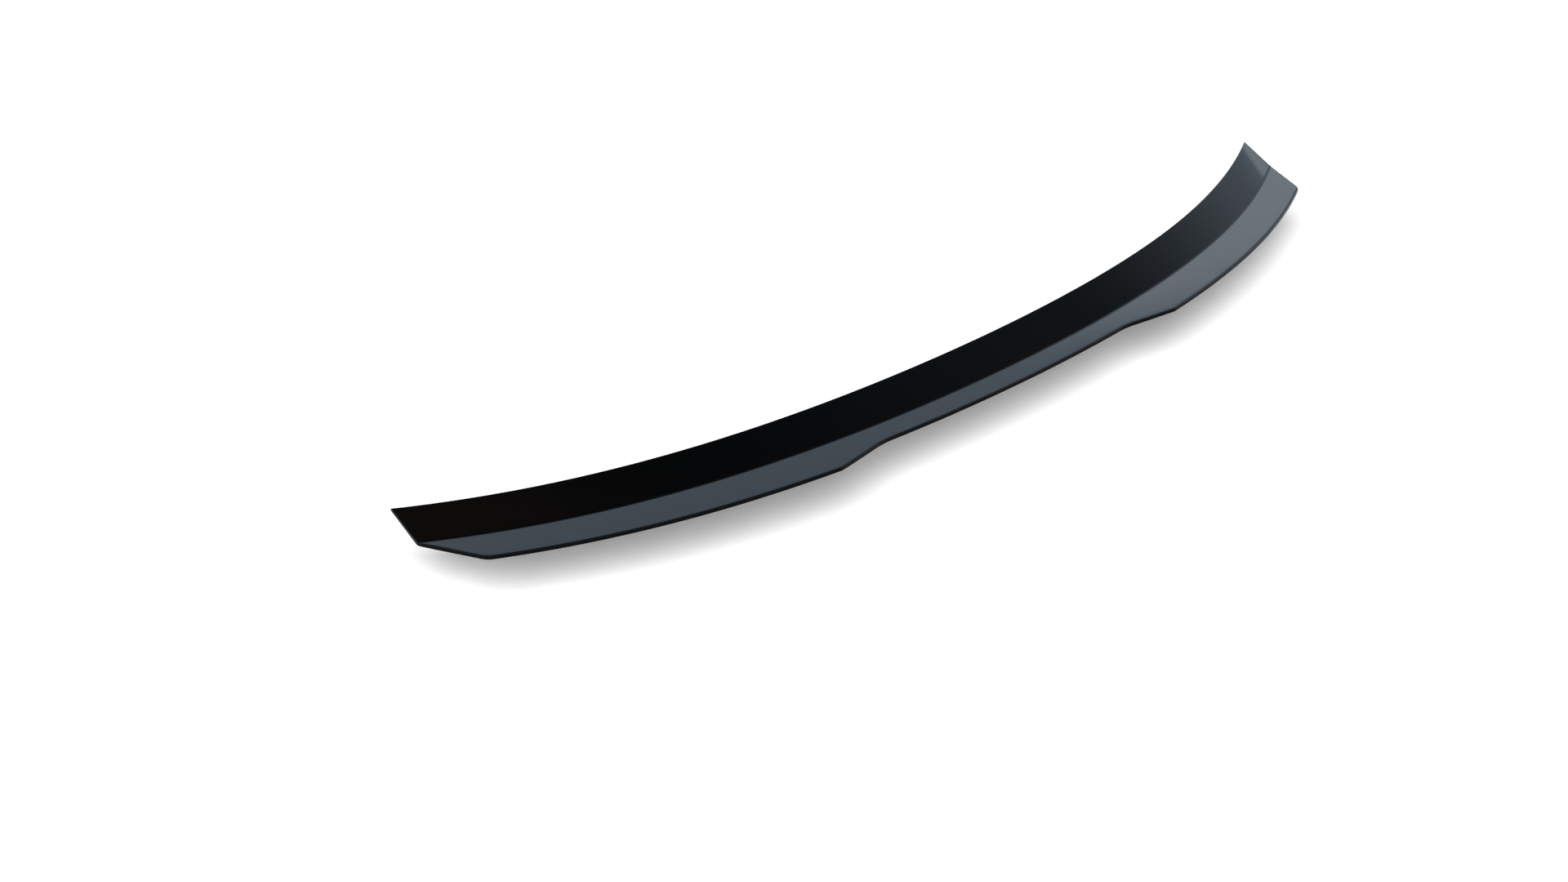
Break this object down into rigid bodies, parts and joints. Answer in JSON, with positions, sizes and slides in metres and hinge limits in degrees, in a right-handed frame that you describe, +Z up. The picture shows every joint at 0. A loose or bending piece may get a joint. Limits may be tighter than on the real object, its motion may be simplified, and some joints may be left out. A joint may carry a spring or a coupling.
{
  "type": "boot lid spoiler cap",
  "caption": "Thin swept lip spoiler with a recessed middle and a front flange, bonded to the rear edge of a car's boot lid with foam tape.",
  "frame": {"origin": "middle of the foam tape's sticking face, under the flange, where the part meets the car", "axes": "+X to the right seen from behind the car, along the part's width; +Y towards the car's front; +Z up"},
  "size_m": [1.25, 0.222, 0.0252],
  "materials": {
    "gloss_black_shell": "high gloss moulded ABS, pale keyed bonding area underneath",
    "acrylic_foam": "dark grey closed-cell acrylic foam",
    "liner_film": "pale red release film"
  },
  "bodies": {
    "root": {"moulded_shell": "gloss_black_shell", "foam_tape": "acrylic_foam", "release_liner": "liner_film"}
  },
  "joints": []
}
